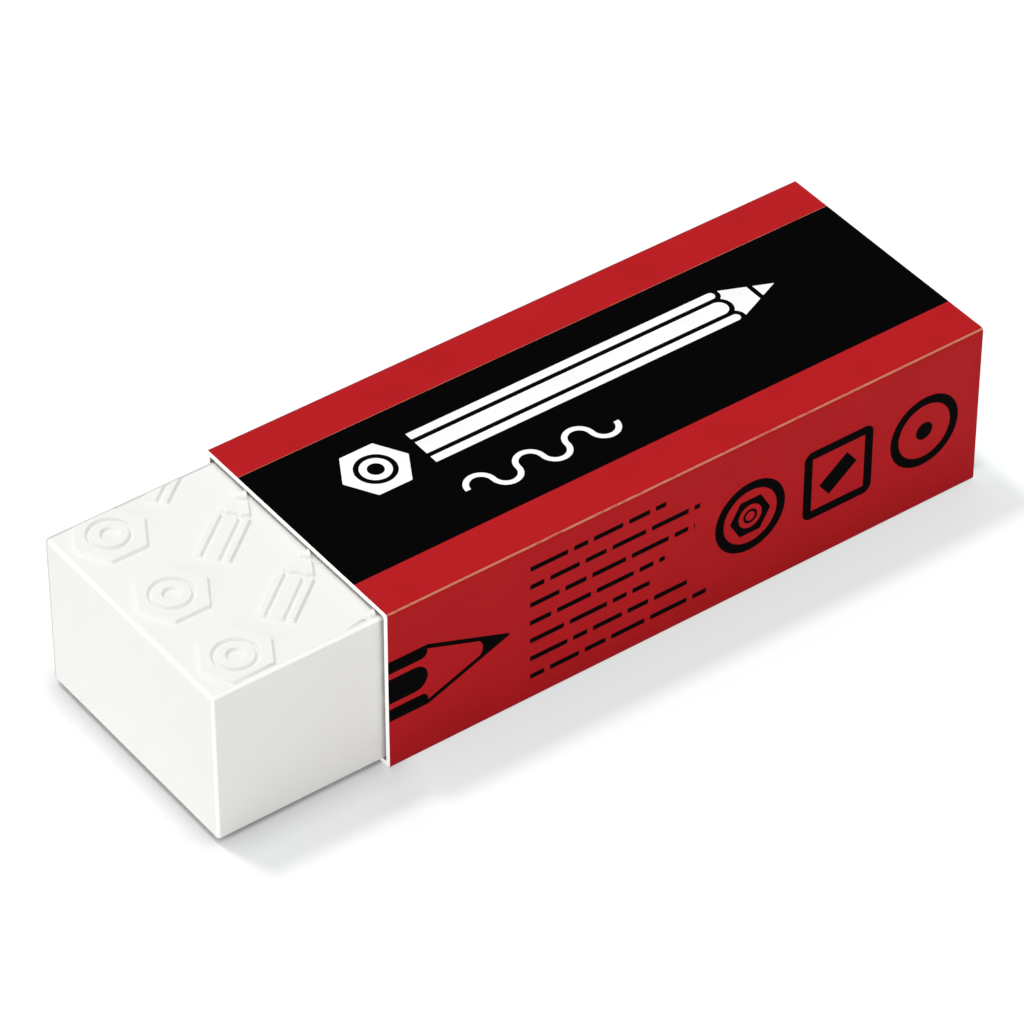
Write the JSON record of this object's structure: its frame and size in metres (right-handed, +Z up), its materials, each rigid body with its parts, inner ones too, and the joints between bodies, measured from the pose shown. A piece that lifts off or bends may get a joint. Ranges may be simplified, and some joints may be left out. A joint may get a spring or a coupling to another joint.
{
  "type": "rubber eraser",
  "caption": "White vinyl eraser block with a raised pencil pattern, in a folded and glued card sleeve printed red and black that slides along it.",
  "frame": {"origin": "centre of the footprint of the whole eraser, on the surface it lies on", "axes": "+Z up; X along the block, with its exposed end towards -X and the sleeve towards +X; the sleeve's glued seam faces +Y"},
  "size_m": [0.0654, 0.022, 0.0139],
  "materials": {
    "vinyl": "soft matt white vinyl",
    "printed_card": "red and black print under a thin semi-gloss coat, raw card inside and at the cut edges"
  },
  "bodies": {
    "sleeve": {"card_sleeve": "printed_card"},
    "block": {"eraser_block": "vinyl"}
  },
  "joints": [
    {"name": "block_slide", "type": "slide", "parent": "sleeve", "child": "block", "axis": [-1, 0, 0], "range_m": [-0.0136, 0.0517]}
  ]
}
